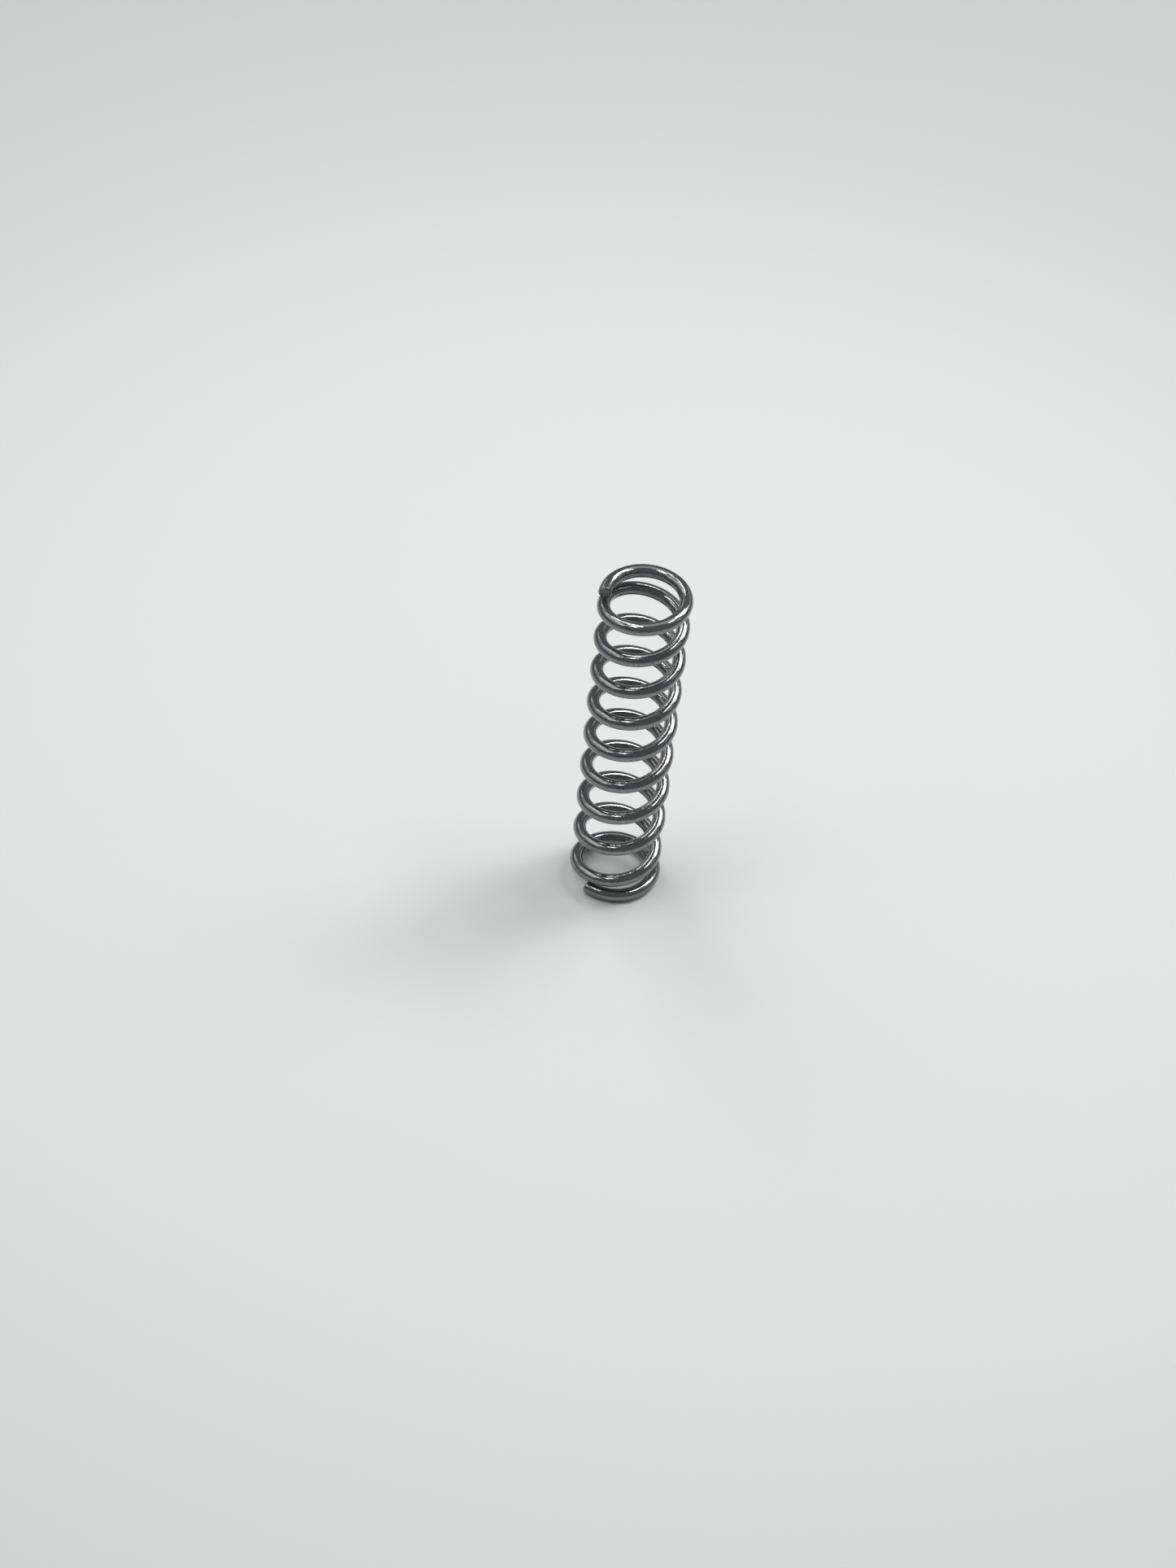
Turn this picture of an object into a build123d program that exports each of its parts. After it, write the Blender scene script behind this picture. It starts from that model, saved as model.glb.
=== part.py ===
from build123d import *
import os
from math import cos, radians, sin

# Suspension spring: one round steel wire wound into an open, right-handed coil with
# closed, unground ends. Millimetres, +Z along the coil's axis, and the origin on that
# axis at the level that the lower end stands on.

# Wire and coil
wire_diameter = 1.2
outer_diameter = 8.4
free_length = 35.1
active_turns = 7.85

# The active turns close up a little from the lower end to the upper one: their spacing
# falls by this much on the way
pitch_fall = 0.38

# Closed ends, one turn each: flat at first, then rising to the spacing of the active
# turns. The gap is what stays open, along the axis, between the wire's tip and the turn
# beside it.
lower_tip_gap = 0.06
lower_ramp_turns = 0.20
upper_tip_gap = 0.07
upper_ramp_turns = 0.62

# The lower end's flat stretch is wound on a radius this much larger, so that it runs
# out of the coil in one smooth curve and its tip stands a little outside the turns above
lower_turn_spread = 0.12

# Where the lower tip lies round the axis, in degrees from +X
lower_tip_angle = 232.0

# Rounding of the rim of each sheared tip
tip_rounding = 0.1

# Worked out from the sizes above
mean_radius = (outer_diameter - wire_diameter) / 2
total_turns = active_turns + 2
wire_rise = free_length - wire_diameter
lower_end_rise = wire_diameter + lower_tip_gap
upper_end_rise = wire_diameter + upper_tip_gap
pitch = (wire_rise - lower_end_rise - upper_end_rise) / active_turns
lower_pitch = pitch + pitch_fall / 2
upper_pitch = pitch - pitch_fall / 2
lower_flat_turns = 1 - lower_ramp_turns / 2 - lower_end_rise / lower_pitch
upper_flat_turns = 1 - upper_ramp_turns / 2 - upper_end_rise / upper_pitch
upper_flat_start = total_turns - upper_flat_turns

# Spline points in each turn between the two flat stretches
points_per_turn = 28


def end_turn_rise(turn, flat_turns, ramp_turns, end_pitch):
    """Rise of the wire's centre within a closed turn, this many turns from its tip."""
    past_flat = max(turn - flat_turns, 0)
    ramp = min(past_flat / ramp_turns, 1)
    past_ramp = max(past_flat - ramp_turns, 0)
    return end_pitch * (ramp_turns * (ramp**3 - ramp**4 / 2) + past_ramp)


def wire_rise_at(turn):
    """Rise of the wire's centre from the lower tip to this many turns from it."""
    turns_left = total_turns - turn
    if turn < 1:
        return end_turn_rise(turn, lower_flat_turns, lower_ramp_turns, lower_pitch)
    if turns_left < 1:
        rise_left = end_turn_rise(turns_left, upper_flat_turns, upper_ramp_turns, upper_pitch)
        return wire_rise - rise_left
    wound = turn - 1
    return lower_end_rise + lower_pitch * wound - pitch_fall * wound**2 / (2 * active_turns)


def arc_point(radius, turn):
    """Point at this radius round the axis, this many turns from the lower tip."""
    angle = radians(lower_tip_angle + 360 * turn)
    return (radius * cos(angle), radius * sin(angle))


def wire_centre(turn):
    """Point on the wire's centreline, this many turns from the lower tip."""
    height = wire_diameter / 2 + wire_rise_at(turn)
    if turn < lower_flat_turns:
        x, y = arc_point(mean_radius + lower_turn_spread, turn)
        return (spread_centre[0] + x, spread_centre[1] + y, height)
    return (*arc_point(mean_radius, turn), height)


def flat_direction(turn):
    """Level direction along the wire, this many turns from the lower tip."""
    angle = radians(lower_tip_angle + 360 * turn)
    return (-sin(angle), cos(angle), 0)


# The spread stretch meets the coil where the flat ends, so its centre lies opposite there
spread_centre = arc_point(-lower_turn_spread, lower_flat_turns)

with BuildPart() as spring_wire:
    with BuildLine() as centreline:
        CenterArc(
            center=(*spread_centre, wire_diameter / 2),
            radius=mean_radius + lower_turn_spread,
            start_angle=lower_tip_angle,
            arc_size=360 * lower_flat_turns,
        )
        rising_turns = upper_flat_start - lower_flat_turns
        steps = round(points_per_turn * rising_turns)
        turns = [lower_flat_turns + rising_turns * step / steps for step in range(steps + 1)]
        Spline(
            *[wire_centre(turn) for turn in turns],
            tangents=(flat_direction(lower_flat_turns), flat_direction(upper_flat_start)),
            tangent_scalars=(1, 1),
        )
        CenterArc(
            center=(0, 0, free_length - wire_diameter / 2),
            radius=mean_radius,
            start_angle=lower_tip_angle + 360 * upper_flat_start,
            arc_size=360 * upper_flat_turns,
        )
    with BuildSketch(Plane(wire_centre(0), z_dir=flat_direction(0))):
        Circle(wire_diameter / 2)
    sweep(is_frenet=True)
    tip_faces = spring_wire.faces().filter_by(GeomType.PLANE)
    fillet(tip_faces.edges(), radius=tip_rounding)

spring_wire.part.label = "spring_wire"

os.makedirs("parts", exist_ok=True)
export_step(spring_wire.part, "parts/spring_wire.step")
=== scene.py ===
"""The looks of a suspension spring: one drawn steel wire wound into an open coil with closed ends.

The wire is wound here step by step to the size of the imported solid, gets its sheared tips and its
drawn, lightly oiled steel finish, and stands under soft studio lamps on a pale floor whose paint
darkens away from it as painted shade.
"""

from math import atan2, cos, pi, radians, sin

import bmesh
import bpy
from mathutils import Matrix, Vector


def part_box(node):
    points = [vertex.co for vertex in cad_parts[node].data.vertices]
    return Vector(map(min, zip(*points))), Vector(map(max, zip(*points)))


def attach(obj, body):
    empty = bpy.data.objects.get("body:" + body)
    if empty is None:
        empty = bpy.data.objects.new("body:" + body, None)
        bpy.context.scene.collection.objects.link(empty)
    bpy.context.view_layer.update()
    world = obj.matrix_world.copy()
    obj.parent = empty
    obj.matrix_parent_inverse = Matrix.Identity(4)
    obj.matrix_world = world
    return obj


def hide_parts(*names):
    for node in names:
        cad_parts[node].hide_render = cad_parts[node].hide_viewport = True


bl_info = {
    "name": "Suspension Spring",
    "version": (1, 0, 0),
    "blender": (4, 5, 0),
    "location": "View3D > Sidebar > Spring",
    "description": "Winds a suspension spring from drawn steel wire and sets up its studio",
    "category": "Object",
}

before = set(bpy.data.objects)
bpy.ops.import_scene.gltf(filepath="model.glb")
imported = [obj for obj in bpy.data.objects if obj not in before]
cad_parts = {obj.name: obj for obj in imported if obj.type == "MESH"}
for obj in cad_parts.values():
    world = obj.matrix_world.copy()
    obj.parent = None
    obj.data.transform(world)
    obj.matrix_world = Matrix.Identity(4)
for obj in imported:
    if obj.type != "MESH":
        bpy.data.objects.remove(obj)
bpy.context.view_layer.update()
wire_low, wire_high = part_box("spring_wire")

MM = 0.001
FULL_TURN = 2 * pi
UP = Vector((0, 0, 1))

# The coil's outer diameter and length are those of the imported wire
outer_radius = min(-wire_low.x, -wire_low.y, wire_high.x, wire_high.y)
free_length = wire_high.z - wire_low.z

# The wire is wound in this many short stretches in each turn, which are joined where their
# corners lie this close, in wire radii
STRETCHES_PER_TURN = 8
SAME_CORNER = 0.001

# The wire's slope at a place is taken over this many turns to each side of it
SLOPE_REACH = 0.002

# A sheared tip is all that lies this close to the centre of its face, in wire radii
TIP_REACH = 1.05
RIM_STEPS = 4

# Its face is broken across this far below the middle, in wire radii. The two levels lie this deep
# and end in a slope this wide, both in roundings of the rim, and lean a little.
BREAK_BELOW_MIDDLE = 0.18
UPPER_LEVEL_DEPTH = 0.25
LOWER_LEVEL_DEPTH = 0.95
LEVEL_SLOPE = 1 / 3
LEVEL_LEAN = radians(4)

# Height of each mark on the drawn surface, as a share of the mark depth
FINE_LINE_HEIGHT = 0.015
BROAD_LINE_HEIGHT = 0.06
GRAIN_HEIGHT = 0.25
RIPPLE_HEIGHT = 0.4
SPECK_HEIGHT = -0.05

# How much the broad draw lines change the roughness either way, and what a speck and the broken
# face of a tip add to it
LINE_ROUGHNESS = 0.02
SPECK_ROUGHNESS = 0.2
CUT_ROUGHNESS = 0.5

# The floor runs this far from the spring. Its paint darkens over a shorter reach, as painted shade
# that stands in for the lamps' light falling off away from the spring: at each share of that reach it
# keeps this share of its lightness.
FLOOR_HALF_WIDTH = 2.0
PAINTED_FALLOFF_REACH = 0.20
PAINTED_FLOOR_FALLOFF = ((0.0, 1.0), (0.2, 0.99), (0.4, 0.95), (0.6, 0.78), (0.8, 0.71), (1.0, 0.70))
FLOOR_ROUGHNESS = 0.8
FLOOR_SHINE = 0.2

# The soft lamps hang this far from the spring. Each has its name, its azimuth and elevation in
# degrees as seen from the spring, its width and height, and its radiance.
LAMP_DISTANCE = 0.60
SOFT_LAMPS = (
    ("ceiling", 100, 79, 0.36, 0.16, 0.8),
    ("left_ceiling", 180, 75, 0.15, 0.12, 6.0),
    ("high_back_window", 88, 62, 0.24, 0.10, 1.5),
    ("high_window", 46, 58, 0.22, 0.12, 11.0),
    ("high_near_window", 12, 65, 0.15, 0.09, 9.0),
    ("right_high_window", 32, 47, 0.18, 0.13, 8.0),
    ("right_window", 29, 36, 0.24, 0.11, 3.0),
    ("right_low_window", 38, 24, 0.20, 0.11, 0.7),
    ("right_near_window", 0, 36, 0.15, 0.28, 0.4),
    ("back_window", 120, 50, 0.10, 0.16, 5.5),
    ("back_left_high_window", 132, 64, 0.13, 0.06, 9.0),
    ("back_left_window", 136, 44, 0.16, 0.20, 1.5),
    ("left_window", 168, 46, 0.30, 0.16, 0.8),
    ("left_window_glow", 166, 42, 0.50, 0.34, 0.5),
    ("left_front_window", -162, 44, 0.12, 0.22, 1.7),
    ("left_high_window", -150, 65, 0.17, 0.07, 5.5),
    ("low_left_window", 140, 27, 0.60, 0.16, 0.4),
    ("low_back_left_window", 119, 23, 0.16, 0.09, 0.7),
    ("low_back_window", 60, 26, 0.19, 0.19, 0.4),
)

# The photograph's frame, and where the spring stands in it
PHOTO_WIDTH = 1445
PHOTO_HEIGHT = 1927
AIM_PIXEL = (770.01, 932.72)
AIM_HEIGHT = 14.64 * MM
CAMERA_ELEVATION = radians(45.046)
CAMERA_ROLL = radians(6.237)
CAMERA_DISTANCE = 356.16 * MM
FOCAL_PIXELS = 4809.8

# The camera's sensor, in millimetres, and the nearest and farthest that it sees
SENSOR_WIDTH = 36
NEAR_LIMIT = 0.01
FAR_LIMIT = 20


class WireSizes(bpy.types.PropertyGroup):
    """Sizes that the wire is wound to."""

    wire_diameter: bpy.props.FloatProperty(
        name="Wire diameter", description="Thickness of the drawn wire",
        default=1.2 * MM, min=0.1 * MM, subtype="DISTANCE", unit="LENGTH", precision=5)
    active_turns: bpy.props.FloatProperty(
        name="Active turns", description="Turns between the two closed ends",
        default=7.85, min=1)
    pitch_fall: bpy.props.FloatProperty(
        name="Pitch fall", description="How much closer the turns lie at the top than at the foot",
        default=0.38 * MM, subtype="DISTANCE", unit="LENGTH", precision=5)
    lower_tip_gap: bpy.props.FloatProperty(
        name="Lower tip gap", description="Open space over the wire at the lower tip",
        default=0.06 * MM, min=0, subtype="DISTANCE", unit="LENGTH", precision=5)
    lower_ramp_turns: bpy.props.FloatProperty(
        name="Lower ramp", description="Part of a turn in which the wire leaves the flat foot",
        default=0.20, min=0.05, max=1, subtype="FACTOR")
    upper_tip_gap: bpy.props.FloatProperty(
        name="Upper tip gap", description="Open space under the wire at the upper tip",
        default=0.07 * MM, min=0, subtype="DISTANCE", unit="LENGTH", precision=5)
    upper_ramp_turns: bpy.props.FloatProperty(
        name="Upper ramp", description="Part of a turn in which the wire runs into the flat top",
        default=0.62, min=0.05, max=1, subtype="FACTOR")
    lower_turn_spread: bpy.props.FloatProperty(
        name="Lower turn spread", description="How much wider the flat foot is wound than the coil",
        default=0.12 * MM, min=0, subtype="DISTANCE", unit="LENGTH", precision=5)
    lower_tip_angle: bpy.props.FloatProperty(
        name="Lower tip angle", description="Where the wire starts, round from +X",
        default=radians(232), subtype="ANGLE", unit="ROTATION")
    tip_rounding: bpy.props.FloatProperty(
        name="Tip rounding", description="Radius that the cut-off tool leaves on the tip's rim",
        default=0.09 * MM, min=0, subtype="DISTANCE", unit="LENGTH", precision=5)
    steps_per_turn: bpy.props.IntProperty(
        name="Steps per turn", description="Rings of the mesh in one turn", default=112, min=24)
    sides: bpy.props.IntProperty(
        name="Sides", description="Corners of the mesh around the wire", default=40, min=12)


class SteelFinish(bpy.types.PropertyGroup):
    """Colours, gloss and marks of the drawn steel."""

    steel: bpy.props.FloatVectorProperty(
        name="Steel", description="Drawn steel under its thin oil film",
        default=(0.250, 0.262, 0.262), size=3, min=0, max=1, subtype="COLOR")
    blue_film: bpy.props.FloatVectorProperty(
        name="Blue film", description="Cool tint where the oil film is thicker",
        default=(0.205, 0.232, 0.248), size=3, min=0, max=1, subtype="COLOR")
    brown_film: bpy.props.FloatVectorProperty(
        name="Brown film", description="Warm tint where the film has dried",
        default=(0.258, 0.262, 0.250), size=3, min=0, max=1, subtype="COLOR")
    fresh_cut: bpy.props.FloatVectorProperty(
        name="Fresh cut", description="Bare steel of the sheared tips",
        default=(0.310, 0.318, 0.312), size=3, min=0, max=1, subtype="COLOR")
    speck_colour: bpy.props.FloatVectorProperty(
        name="Specks", description="Small dark specks of scale",
        default=(0.07, 0.07, 0.07), size=3, min=0, max=1, subtype="COLOR")
    speck_strength: bpy.props.FloatProperty(
        name="Speck strength", description="How much a speck of scale hides the steel",
        default=0.6, min=0, max=1, subtype="FACTOR")
    tint_strength: bpy.props.FloatProperty(
        name="Tint strength", description="How much the thin film's changing tints show",
        default=0.15, min=0, max=1, subtype="FACTOR")
    metallic: bpy.props.FloatProperty(
        name="Metallic", description="How much the oiled surface reflects as bare metal",
        default=0.93, min=0, max=1, subtype="FACTOR")
    roughness: bpy.props.FloatProperty(
        name="Roughness", description="Roughness of the drawn surface",
        default=0.05, min=0, max=1, subtype="FACTOR")
    mark_depth: bpy.props.FloatProperty(
        name="Mark depth", description="Depth that the heights of all marks are shares of",
        default=0.03 * MM, min=0, subtype="DISTANCE", unit="LENGTH", precision=5)


class StudioSetting(bpy.types.PropertyGroup):
    """Colours of the stage and its light."""

    floor_colour: bpy.props.FloatVectorProperty(
        name="Floor", description="Plain pale floor",
        default=(0.690, 0.717, 0.740), size=3, min=0, max=1, subtype="COLOR")
    surround: bpy.props.FloatVectorProperty(
        name="Surround", description="Soft even light of the room around the stage",
        default=(0.200, 0.212, 0.222), size=3, min=0, max=1, subtype="COLOR")
    lamp_colour: bpy.props.FloatVectorProperty(
        name="Lamps", description="Colour of the soft lamps",
        default=(1.0, 0.99, 0.92), size=3, min=0, max=1, subtype="COLOR")


def wire_settings():
    return bpy.context.scene.spring_wire_sizes


def finish_settings():
    return bpy.context.scene.spring_steel_finish


def studio_settings():
    return bpy.context.scene.spring_studio


# The wire's line


class WireLine:
    """Where the wire's centre runs, turn by turn from the lower tip."""

    def __init__(self, sizes):
        self.wire_radius = sizes.wire_diameter / 2
        self.mean_radius = outer_radius - self.wire_radius
        self.start_angle = sizes.lower_tip_angle
        self.active_turns = sizes.active_turns
        self.total_turns = sizes.active_turns + 2
        self.wire_rise = free_length - sizes.wire_diameter
        self.pitch_fall = sizes.pitch_fall
        self.lower_end_rise = sizes.wire_diameter + sizes.lower_tip_gap
        upper_end_rise = sizes.wire_diameter + sizes.upper_tip_gap
        pitch = (self.wire_rise - self.lower_end_rise - upper_end_rise) / sizes.active_turns
        self.lower_pitch = pitch + sizes.pitch_fall / 2
        self.upper_pitch = pitch - sizes.pitch_fall / 2
        self.lower_ramp = sizes.lower_ramp_turns
        self.upper_ramp = sizes.upper_ramp_turns
        self.lower_flat = 1 - self.lower_ramp / 2 - self.lower_end_rise / self.lower_pitch
        self.upper_flat = 1 - self.upper_ramp / 2 - upper_end_rise / self.upper_pitch
        self.spread = sizes.lower_turn_spread

    def end_turn_rise(self, turn, flat_turns, ramp_turns, end_pitch):
        """Rise in an end turn: none in its flat part, then a smooth ramp up to the pitch."""
        past_flat = max(turn - flat_turns, 0)
        ramp = min(past_flat / ramp_turns, 1)
        past_ramp = max(past_flat - ramp_turns, 0)
        return end_pitch * (ramp_turns * (ramp**3 - ramp**4 / 2) + past_ramp)

    def rise(self, turn):
        """Rise of the wire's centre from the lower tip."""
        turns_left = self.total_turns - turn
        if turn < 1:
            return self.end_turn_rise(turn, self.lower_flat, self.lower_ramp, self.lower_pitch)
        if turns_left < 1:
            rise_left = self.end_turn_rise(
                turns_left, self.upper_flat, self.upper_ramp, self.upper_pitch)
            return self.wire_rise - rise_left
        wound = turn - 1
        closing = self.pitch_fall * wound**2 / (2 * self.active_turns)
        return self.lower_end_rise + self.lower_pitch * wound - closing

    def slope(self, turn):
        """Angle at which the wire climbs."""
        before = max(turn - SLOPE_REACH, 0)
        after = min(turn + SLOPE_REACH, self.total_turns)
        climb = self.rise(after) - self.rise(before)
        return atan2(climb, (after - before) * FULL_TURN * self.mean_radius)

    def outward(self, turn):
        """Level direction away from the coil's axis."""
        angle = self.start_angle + FULL_TURN * turn
        return Vector((cos(angle), sin(angle), 0))

    def winding_centre(self, turn):
        """What the wire is wound about: the coil's axis, or a point beside it for the spread foot."""
        if turn < self.lower_flat:
            return -self.spread * self.outward(self.lower_flat)
        return Vector((0, 0, 0))

    def centre(self, turn):
        """Centre of the wire."""
        radius = self.mean_radius + (self.spread if turn < self.lower_flat else 0)
        height = wire_low.z + self.wire_radius + self.rise(turn)
        return self.winding_centre(turn) + radius * self.outward(turn) + height * UP

    def along(self, turn):
        """Direction in which the wire runs."""
        level = UP.cross(self.outward(turn))
        return Matrix.Rotation(self.slope(turn), 3, self.outward(turn)) @ level

    def upward(self, turn):
        """Direction across the wire that is square to it and to the outward one."""
        return self.outward(turn).cross(self.along(turn))


# The wire's mesh


def note_place(corner, layer, line, turn):
    """Stores where a corner lies on the straightened wire, for patterns that follow it."""
    offset = corner.co - line.centre(turn)
    wound_length = FULL_TURN * line.mean_radius * turn
    corner[layer] = (
        wound_length + offset.dot(line.along(turn)),
        offset.dot(line.outward(turn)),
        offset.dot(line.upward(turn)))


def wind_stretch(line, first_turn, last_turn, steps, sides):
    """Winds a ring of corners round in small steps, and leans it to stay square to the wire."""
    bm = bmesh.new()
    place_layer = bm.verts.layers.float_vector.new("wire_place")
    lean = line.slope(first_turn)
    upright = Matrix.Rotation(pi / 2, 4, "X")
    turned = Matrix.Rotation(line.start_angle + FULL_TURN * first_turn, 4, "Z")
    leaned = Matrix.Rotation(lean, 4, line.outward(first_turn))
    place = Matrix.Translation(line.centre(first_turn)) @ leaned @ turned @ upright
    bmesh.ops.create_circle(bm, segments=sides, radius=line.wire_radius, matrix=place)
    for corner in bm.verts:
        note_place(corner, place_layer, line, first_turn)
    ring_geometry = bm.verts[:] + bm.edges[:]
    winding_centre = line.winding_centre((first_turn + last_turn) / 2)
    turn_step = (last_turn - first_turn) / steps
    for step in range(1, steps + 1):
        turn = first_turn + step * turn_step
        climb = line.rise(turn) - line.rise(turn - turn_step)
        wound = bmesh.ops.spin(
            bm, geom=ring_geometry, cent=winding_centre, axis=UP, dvec=climb * UP,
            angle=turn_step * FULL_TURN, space=Matrix(), steps=1)
        ring_geometry = wound["geom_last"]
        ring = [part for part in ring_geometry if isinstance(part, bmesh.types.BMVert)]
        new_lean = line.slope(turn)
        bmesh.ops.rotate(
            bm, verts=ring, cent=line.centre(turn),
            matrix=Matrix.Rotation(new_lean - lean, 3, line.outward(turn)))
        lean = new_lean
        for corner in ring:
            note_place(corner, place_layer, line, turn)
    stretch = bpy.data.meshes.new("wire_stretch")
    bm.to_mesh(stretch)
    bm.free()
    return stretch


def wind_coil(bm, line, steps_per_turn, sides):
    """Winds the spread foot and then the rest in short stretches, end to end, and joins them."""
    for start, end in ((0, line.lower_flat), (line.lower_flat, line.total_turns)):
        stretches = round((end - start) * STRETCHES_PER_TURN)
        turns_each = (end - start) / stretches
        steps = round(steps_per_turn * turns_each)
        for number in range(stretches):
            first_turn = start + number * turns_each
            stretch = wind_stretch(line, first_turn, first_turn + turns_each, steps, sides)
            bm.from_mesh(stretch)
            bpy.data.meshes.remove(stretch)
    bmesh.ops.remove_doubles(bm, verts=bm.verts, dist=SAME_CORNER * line.wire_radius)


def find_cap(bm, centre, reach):
    """The flat face that closes the wire here: of the faces near, the one with most corners."""
    near = [face for face in bm.faces if (face.calc_center_median() - centre).length < reach]
    return max(near, key=lambda face: len(face.verts))


def break_across(bm, line, turn, outside, cap, rounding):
    """Breaks a tip's face across into two levels that lean a little, as a shear does."""
    cut_layer = bm.verts.layers.float["cut_share"]
    upward = line.upward(turn)
    facing = line.along(turn) * outside
    break_middle = line.centre(turn) - BREAK_BELOW_MIDDLE * line.wire_radius * upward
    split = bmesh.ops.bisect_plane(
        bm, geom=[cap] + list(cap.edges) + list(cap.verts), dist=SAME_CORNER * line.wire_radius,
        plane_co=break_middle, plane_no=upward)
    levels = [part for part in split["geom"] if isinstance(part, bmesh.types.BMFace)]
    bmesh.ops.inset_individual(bm, faces=levels, thickness=LEVEL_SLOPE * rounding, depth=0)
    for face in levels:
        middle = face.calc_center_median()
        is_lower = (middle - break_middle).dot(upward) < 0
        depth = LOWER_LEVEL_DEPTH if is_lower else UPPER_LEVEL_DEPTH
        lean = Matrix.Rotation(LEVEL_LEAN * outside, 3, line.outward(turn))
        bmesh.ops.rotate(bm, verts=face.verts, cent=middle, matrix=lean)
        bmesh.ops.translate(bm, verts=face.verts, vec=-depth * rounding * facing)
        for corner in face.verts:
            corner[cut_layer] = 1
    bmesh.ops.poke(bm, faces=levels)


def close_tip(bm, line, turn, outside, rounding):
    """Closes one open end with a rounded rim and a broken face."""
    place_layer = bm.verts.layers.float_vector["wire_place"]
    centre = line.centre(turn)
    reach = TIP_REACH * line.wire_radius
    rim = [edge for edge in bm.edges
           if edge.is_boundary and (edge.verts[0].co - centre).length < reach]
    bmesh.ops.contextual_create(bm, geom=rim)
    bmesh.ops.bevel(
        bm, geom=rim, offset=rounding, offset_type="OFFSET", affect="EDGES", segments=RIM_STEPS,
        profile=0.5, material=-1, clamp_overlap=True)
    cap = find_cap(bm, centre, line.wire_radius)
    bmesh.ops.inset_region(bm, faces=[cap], thickness=rounding, depth=0, use_even_offset=True)
    break_across(bm, line, turn, outside, cap, rounding)
    for corner in bm.verts:
        if (corner.co - centre).length < reach:
            note_place(corner, place_layer, line, turn)


def make_spring_wire():
    """Winds the whole wire, closes both tips and returns it as an object."""
    sizes = wire_settings()
    line = WireLine(sizes)
    bm = bmesh.new()
    wind_coil(bm, line, sizes.steps_per_turn, sizes.sides)
    bm.verts.layers.float.new("cut_share")
    close_tip(bm, line, 0, -1, sizes.tip_rounding)
    close_tip(bm, line, line.total_turns, 1, sizes.tip_rounding)
    bmesh.ops.recalc_face_normals(bm, faces=bm.faces)
    for face in bm.faces:
        face.smooth = True
    mesh = bpy.data.meshes.new("spring_wire_drawn")
    bm.to_mesh(mesh)
    bm.free()
    wire = bpy.data.objects.new("spring_wire_drawn", mesh)
    bpy.context.scene.collection.objects.link(wire)
    return wire


# The steel


class SteelNodes:
    """Adds shader nodes to a material, with patterns that are laid along the wire."""

    # Sockets of the Mix node that carry colours
    FIRST_COLOUR = 6
    SECOND_COLOUR = 7
    MIXED_COLOUR = 2

    def __init__(self, material):
        self.nodes = material.node_tree.nodes
        self.links = material.node_tree.links
        self.place = self.attribute("wire_place").outputs["Vector"]

    def attribute(self, name):
        """Reads what the mesh stores under this name."""
        stored = self.nodes.new("ShaderNodeAttribute")
        stored.attribute_name = name
        return stored

    def feed(self, socket, value):
        """Links another node's output to a socket, or sets the socket to a number or a colour."""
        if isinstance(value, bpy.types.NodeSocket):
            self.links.new(value, socket)
        elif socket.type == "RGBA":
            socket.default_value = (*value, 1)
        else:
            socket.default_value = value

    def noise(self, name, along, around, detail, shift):
        """Noise in patches this many millimetres long along the wire and wide around it."""
        mapping = self.nodes.new("ShaderNodeMapping")
        around_scale = 1 / (around * MM)
        mapping.inputs["Scale"].default_value = (1 / (along * MM), around_scale, around_scale)
        mapping.inputs["Location"].default_value = shift
        texture = self.nodes.new("ShaderNodeTexNoise")
        texture.name = name
        texture.inputs["Scale"].default_value = 1.0
        texture.inputs["Detail"].default_value = detail
        self.links.new(self.place, mapping.inputs["Vector"])
        self.links.new(mapping.outputs["Vector"], texture.inputs["Vector"])
        return texture

    def pattern(self, name, along, around, detail, shift):
        """The same noise as a grey value."""
        return self.noise(name, along, around, detail, shift).outputs["Fac"]

    def spread(self, value, low, high, to_low=0.0, to_high=1.0):
        """Stretches the part of a value between low and high over a new range."""
        step = self.nodes.new("ShaderNodeMapRange")
        step.inputs["From Min"].default_value = low
        step.inputs["From Max"].default_value = high
        step.inputs["To Min"].default_value = to_low
        step.inputs["To Max"].default_value = to_high
        self.links.new(value, step.inputs["Value"])
        return step.outputs["Result"]

    def mix_colour(self, share, first, second, blend="MIX"):
        """Blends the second colour into the first by this share."""
        mix = self.nodes.new("ShaderNodeMix")
        mix.data_type = "RGBA"
        mix.blend_type = blend
        self.feed(mix.inputs["Factor"], share)
        self.feed(mix.inputs[self.FIRST_COLOUR], first)
        self.feed(mix.inputs[self.SECOND_COLOUR], second)
        return mix.outputs[self.MIXED_COLOUR]

    def combine(self, operation, first, second):
        """Adds or multiplies two values."""
        sum_or_product = self.nodes.new("ShaderNodeMath")
        sum_or_product.operation = operation
        self.feed(sum_or_product.inputs[0], first)
        self.feed(sum_or_product.inputs[1], second)
        return sum_or_product.outputs["Value"]

    def add_share(self, total, part, share):
        """Adds this share of a part to a total."""
        return self.combine("ADD", total, self.combine("MULTIPLY", part, share))


def oil_film(steel, finish):
    """Colour of the steel under its oil film and dried film, in patches a few wires long."""
    cool = steel.pattern("cool_patches", along=5.0, around=0.9, detail=3, shift=(0, 0, 0))
    warm = steel.pattern("warm_patches", along=3.4, around=0.8, detail=3, shift=(31, 7, 2))
    cool_share = steel.spread(cool, low=0.48, high=0.66)
    warm_share = steel.spread(warm, low=0.52, high=0.70)
    film = steel.mix_colour(cool_share, finish.steel, finish.blue_film)
    film = steel.mix_colour(warm_share, film, finish.brown_film)
    tints = steel.noise("thin_film_tints", along=0.7, around=0.35, detail=2, shift=(4, 6, 8))
    return steel.mix_colour(finish.tint_strength, film, tints.outputs["Color"], "SOFT_LIGHT")


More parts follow.
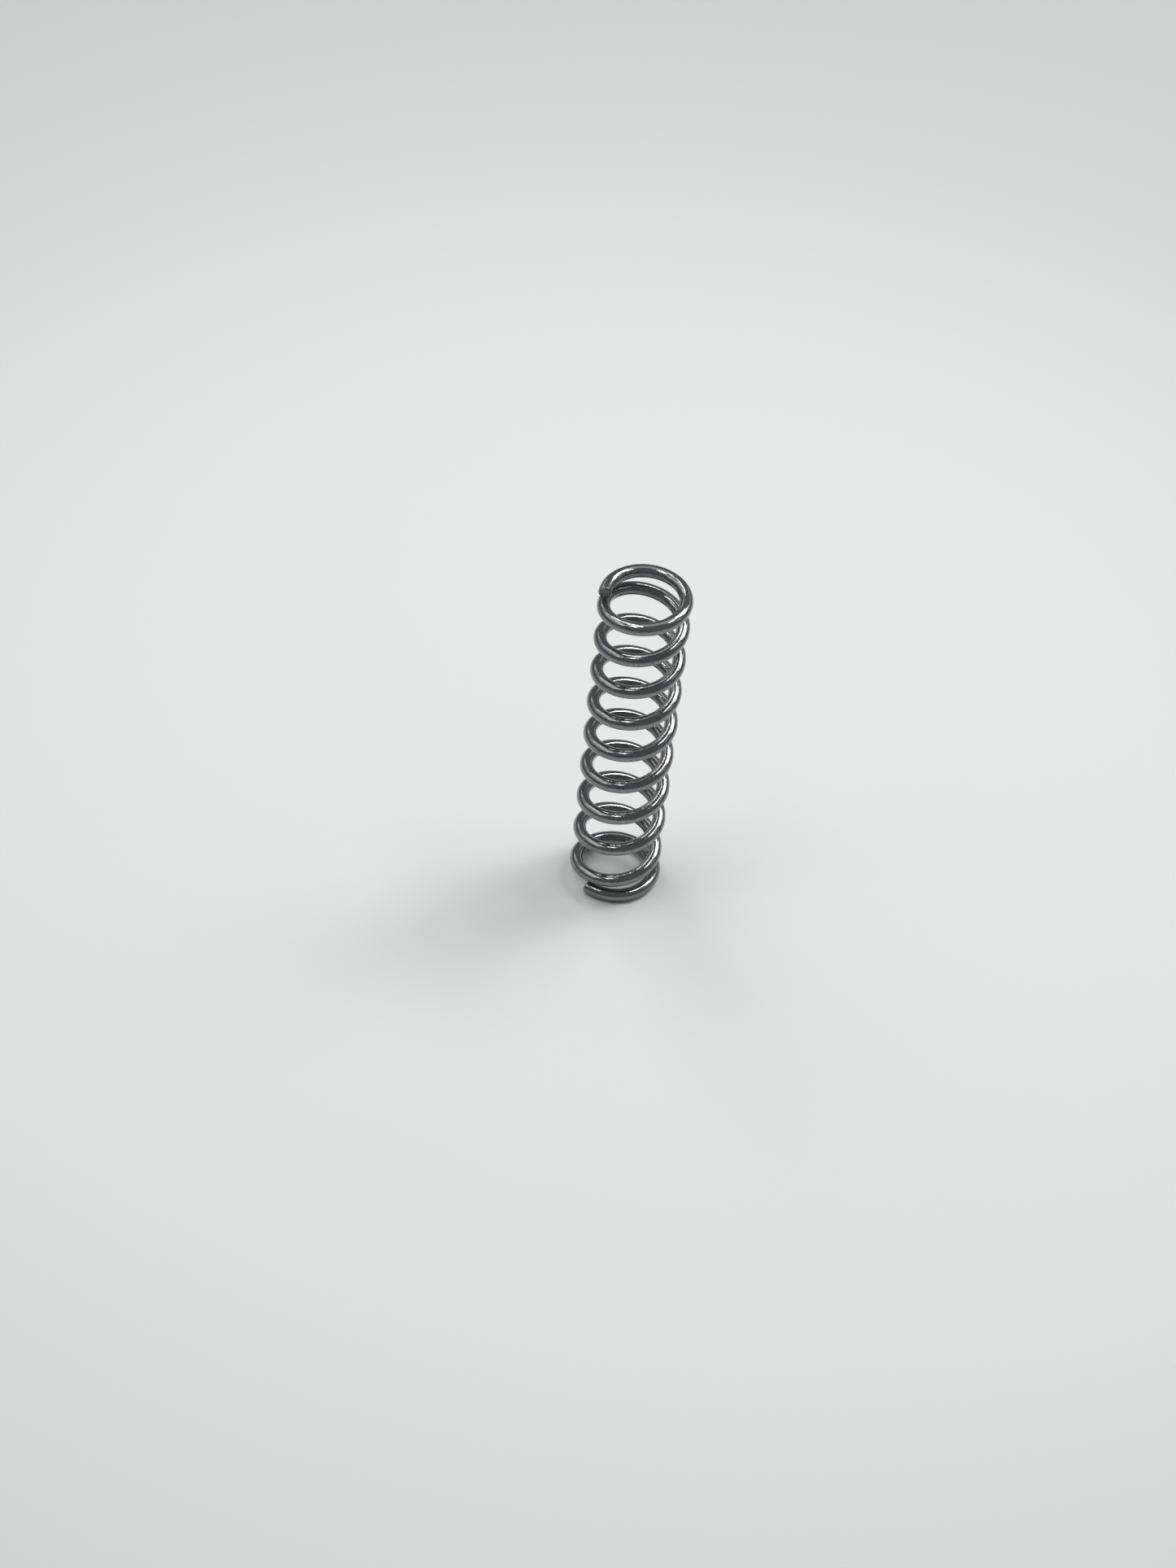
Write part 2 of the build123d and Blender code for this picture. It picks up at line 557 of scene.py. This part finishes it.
def drawn_surface(steel, finish, broad_lines, specks):
    """Direction of the surface over its draw lines, grain, coiling ripples and specks."""
    fine_lines = steel.pattern("fine_draw_lines", along=4.0, around=0.05, detail=2, shift=(3, 1, 5))
    grain = steel.pattern("grain", along=0.42, around=0.34, detail=1, shift=(7, 3, 6))
    ripples = steel.pattern("coiling_ripples", along=1.1, around=1.6, detail=1, shift=(2, 8, 3))
    heights = steel.combine("MULTIPLY", fine_lines, FINE_LINE_HEIGHT)
    heights = steel.add_share(heights, broad_lines, BROAD_LINE_HEIGHT)
    heights = steel.add_share(heights, grain, GRAIN_HEIGHT)
    heights = steel.add_share(heights, ripples, RIPPLE_HEIGHT)
    heights = steel.add_share(heights, specks, SPECK_HEIGHT)
    bump = steel.nodes.new("ShaderNodeBump")
    bump.inputs["Strength"].default_value = 1.0
    bump.inputs["Distance"].default_value = finish.mark_depth
    steel.links.new(heights, bump.inputs["Height"])
    return bump.outputs["Normal"]


def drawn_steel():
    """Drawn, coiled and lightly oiled spring steel, brighter on the broken faces of its tips."""
    finish = finish_settings()
    material = bpy.data.materials.new("drawn_spring_steel")
    material.use_nodes = True
    steel = SteelNodes(material)
    shader = steel.nodes["Principled BSDF"]
    shader.inputs["Metallic"].default_value = finish.metallic

    broad_lines = steel.pattern("broad_draw_lines", along=9.0, around=0.16, detail=2, shift=(11, 4, 9))
    scale = steel.pattern("specks", along=0.20, around=0.15, detail=3, shift=(5, 9, 1))
    specks = steel.spread(scale, low=0.55, high=0.63)
    cut = steel.attribute("cut_share").outputs["Fac"]

    dark_specks = steel.combine("MULTIPLY", specks, finish.speck_strength)
    film = steel.mix_colour(dark_specks, oil_film(steel, finish), finish.speck_colour)
    film = steel.mix_colour(cut, film, finish.fresh_cut)
    steel.links.new(film, shader.inputs["Base Color"])

    smoothest = finish.roughness - LINE_ROUGHNESS
    roughest = finish.roughness + LINE_ROUGHNESS
    roughness = steel.spread(broad_lines, low=0.3, high=0.7, to_low=smoothest, to_high=roughest)
    roughness = steel.add_share(roughness, specks, SPECK_ROUGHNESS)
    roughness = steel.add_share(roughness, cut, CUT_ROUGHNESS)
    steel.links.new(roughness, shader.inputs["Roughness"])

    surface = drawn_surface(steel, finish, broad_lines, specks)
    steel.links.new(surface, shader.inputs["Normal"])
    return material


class SPRING_OT_wind_wire(bpy.types.Operator):
    """Wind the spring's wire, cut its tips and give it its steel"""

    bl_idname = "spring.wind_wire"
    bl_label = "Wind Spring Wire"
    bl_options = {"REGISTER", "UNDO"}

    def execute(self, context):
        wire = make_spring_wire()
        wire.data.materials.append(drawn_steel())
        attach(wire, "root")
        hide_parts("spring_wire")
        return {"FINISHED"}


# The stage


def floor_paint():
    """Pale paint with painted shade: it darkens a little away from the spring, where the lamps' light
    falls off.
    """
    paint = bpy.data.materials.new("pale_floor_paint")
    paint.use_nodes = True
    nodes = paint.node_tree.nodes
    links = paint.node_tree.links
    shader = nodes["Principled BSDF"]
    place = nodes.new("ShaderNodeTexCoord")
    distance = nodes.new("ShaderNodeVectorMath")
    distance.operation = "LENGTH"
    links.new(place.outputs["Object"], distance.inputs[0])
    reach_share = nodes.new("ShaderNodeMath")
    reach_share.operation = "DIVIDE"
    reach_share.inputs[1].default_value = PAINTED_FALLOFF_REACH
    links.new(distance.outputs["Value"], reach_share.inputs[0])
    # Painted shade: this ramp darkens the floor's colour away from the spring, in place of the lamps'
    # light falling off.
    painted_falloff = nodes.new("ShaderNodeValToRGB")
    ramp = painted_falloff.color_ramp
    ramp.interpolation = "B_SPLINE"
    for position, _ in PAINTED_FLOOR_FALLOFF[1:-1]:
        ramp.elements.new(position)
    for stop, (_, lightness) in zip(ramp.elements, PAINTED_FLOOR_FALLOFF):
        stop.color = (*(lightness * part for part in studio_settings().floor_colour), 1)
    links.new(reach_share.outputs["Value"], painted_falloff.inputs["Fac"])
    links.new(painted_falloff.outputs["Color"], shader.inputs["Base Color"])
    shader.inputs["Roughness"].default_value = FLOOR_ROUGHNESS
    shader.inputs["Specular IOR Level"].default_value = FLOOR_SHINE
    return paint


def make_floor():
    """Lays the floor at the level that the spring stands on."""
    bm = bmesh.new()
    bmesh.ops.create_grid(bm, x_segments=1, y_segments=1, size=FLOOR_HALF_WIDTH)
    bmesh.ops.translate(bm, verts=bm.verts, vec=wire_low.z * UP)
    mesh = bpy.data.meshes.new("studio_floor")
    bm.to_mesh(mesh)
    bm.free()
    stage_floor = bpy.data.objects.new("studio_floor", mesh)
    stage_floor.data.materials.append(floor_paint())
    bpy.context.scene.collection.objects.link(stage_floor)


def hang_lamp(name, azimuth, elevation, width, height, radiance):
    """Hangs a rectangular lamp that faces the spring, with its two angles in degrees."""
    lamp = bpy.data.lights.new(name, "AREA")
    lamp.shape = "RECTANGLE"
    lamp.size = width
    lamp.size_y = height
    lamp.energy = radiance * width * height * pi
    lamp.color = studio_settings().lamp_colour
    soft_lamp = bpy.data.objects.new(name, lamp)
    level = cos(radians(elevation))
    direction = Vector((
        level * cos(radians(azimuth)), level * sin(radians(azimuth)), sin(radians(elevation))))
    aim = (wire_low.z + wire_high.z) / 2 * UP
    soft_lamp.location = aim + LAMP_DISTANCE * direction
    soft_lamp.rotation_euler = direction.to_track_quat("Z", "Y").to_euler()
    bpy.context.scene.collection.objects.link(soft_lamp)


def light_stage():
    """Hangs the soft lamps and sets the even light of the room."""
    for soft_lamp in SOFT_LAMPS:
        hang_lamp(*soft_lamp)
    world = bpy.data.worlds.new("soft_surround")
    bpy.context.scene.world = world
    world.use_nodes = True
    background = world.node_tree.nodes["Background"]
    background.inputs["Color"].default_value = (*studio_settings().surround, 1)
    background.inputs["Strength"].default_value = 1.0


def place_camera():
    """Puts the camera where the photograph was taken, looking at the middle of its frame."""
    forward = Vector((0, cos(CAMERA_ELEVATION), -sin(CAMERA_ELEVATION)))
    level_right = Vector((1, 0, 0))
    level_up = level_right.cross(forward)
    right = cos(CAMERA_ROLL) * level_right + sin(CAMERA_ROLL) * level_up
    up = cos(CAMERA_ROLL) * level_up - sin(CAMERA_ROLL) * level_right
    pixel_size = CAMERA_DISTANCE / FOCAL_PIXELS
    aside = (AIM_PIXEL[0] - PHOTO_WIDTH / 2) * pixel_size
    below = (AIM_PIXEL[1] - PHOTO_HEIGHT / 2) * pixel_size
    aim = (wire_low.z + AIM_HEIGHT) * UP
    eye = aim - aside * right + below * up - CAMERA_DISTANCE * forward

    lens = bpy.data.cameras.new("photo_view")
    lens.sensor_fit = "AUTO"
    lens.sensor_width = SENSOR_WIDTH
    lens.lens = SENSOR_WIDTH * FOCAL_PIXELS / PHOTO_HEIGHT
    lens.clip_start = NEAR_LIMIT
    lens.clip_end = FAR_LIMIT
    view = bpy.data.objects.new("photo_view", lens)
    view.matrix_world = Matrix((
        (right.x, up.x, -forward.x, eye.x),
        (right.y, up.y, -forward.y, eye.y),
        (right.z, up.z, -forward.z, eye.z),
        (0, 0, 0, 1)))
    bpy.context.scene.collection.objects.link(view)
    bpy.context.scene.camera = view


class SPRING_OT_set_stage(bpy.types.Operator):
    """Lay the pale floor, hang the lamps and place the camera"""

    bl_idname = "spring.set_stage"
    bl_label = "Set Stage"
    bl_options = {"REGISTER", "UNDO"}

    def execute(self, context):
        make_floor()
        light_stage()
        place_camera()
        context.scene.view_settings.view_transform = "Standard"
        return {"FINISHED"}


class SPRING_PT_workbench(bpy.types.Panel):
    """Lists the spring's steps with their sizes and colours"""

    bl_idname = "SPRING_PT_workbench"
    bl_label = "Suspension Spring"
    bl_space_type = "VIEW_3D"
    bl_region_type = "UI"
    bl_category = "Spring"

    def draw(self, context):
        layout = self.layout
        scene = context.scene
        for group, operator in (
                (scene.spring_wire_sizes, SPRING_OT_wind_wire),
                (scene.spring_steel_finish, None),
                (scene.spring_studio, SPRING_OT_set_stage)):
            box = layout.box()
            for name in group.bl_rna.properties.keys():
                if name not in ("rna_type", "name"):
                    box.prop(group, name)
            if operator:
                box.operator(operator.bl_idname)


SETTINGS = {
    "spring_wire_sizes": WireSizes,
    "spring_steel_finish": SteelFinish,
    "spring_studio": StudioSetting,
}
CLASSES = (*SETTINGS.values(), SPRING_OT_wind_wire, SPRING_OT_set_stage, SPRING_PT_workbench)


def register():
    for part in CLASSES:
        bpy.utils.register_class(part)
    for name, settings in SETTINGS.items():
        setattr(bpy.types.Scene, name, bpy.props.PointerProperty(type=settings))


def unregister():
    for name in SETTINGS:
        delattr(bpy.types.Scene, name)
    for part in reversed(CLASSES):
        bpy.utils.unregister_class(part)


def main():
    register()
    bpy.ops.spring.wind_wire()
    bpy.ops.spring.set_stage()


if __name__ == "__main__":
    main()
